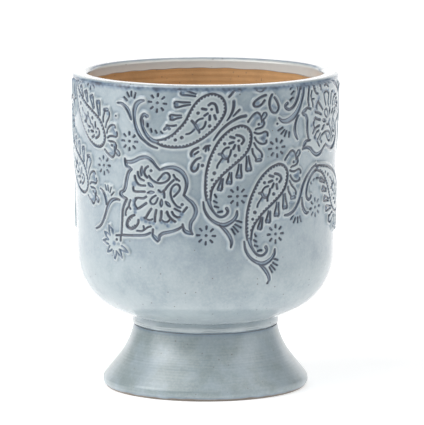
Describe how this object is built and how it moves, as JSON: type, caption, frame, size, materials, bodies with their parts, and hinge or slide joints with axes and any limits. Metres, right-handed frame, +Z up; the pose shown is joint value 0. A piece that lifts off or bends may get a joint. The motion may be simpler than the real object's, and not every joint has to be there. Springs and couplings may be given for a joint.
{
  "type": "pedestal planter",
  "caption": "Footed round ceramic planter: a deep straight-walled bowl on a flared hollow foot, with a raised paisley border round its upper wall.",
  "frame": {"origin": "centre of the flat ring that the foot stands on", "axes": "+Z up along the pot's axis; the side seen in the picture faces -Y"},
  "size_m": [0.2052, 0.2064, 0.2425],
  "materials": {
    "wall_glaze": "gloss, pale blue-grey glaze",
    "relief_glaze": "gloss, pale blue-grey glaze that pools darker in the carved lines",
    "foot_glaze": "gloss, pale blue-grey glaze over throwing lines"
  },
  "bodies": {
    "root": {"bowl": "wall_glaze", "neck_collar": "foot_glaze", "pedestal_foot": "foot_glaze", "paisley_middle": "relief_glaze", "paisley_low": "relief_glaze", "paisley_high": "relief_glaze", "paisley_right": "relief_glaze", "paisley_left_high": "relief_glaze", "paisley_left_low": "relief_glaze", "rim_curl": "relief_glaze", "medallion_low": "relief_glaze", "medallion_rim": "relief_glaze", "spray_high": "relief_glaze", "spray_right": "relief_glaze", "spray_left": "relief_glaze", "spray_middle": "relief_glaze", "spray_low": "relief_glaze", "spray_side": "relief_glaze", "spray_rim": "relief_glaze", "rim_drops": "relief_glaze", "hanging_buds": "relief_glaze", "daisy": "relief_glaze"}
  },
  "joints": []
}
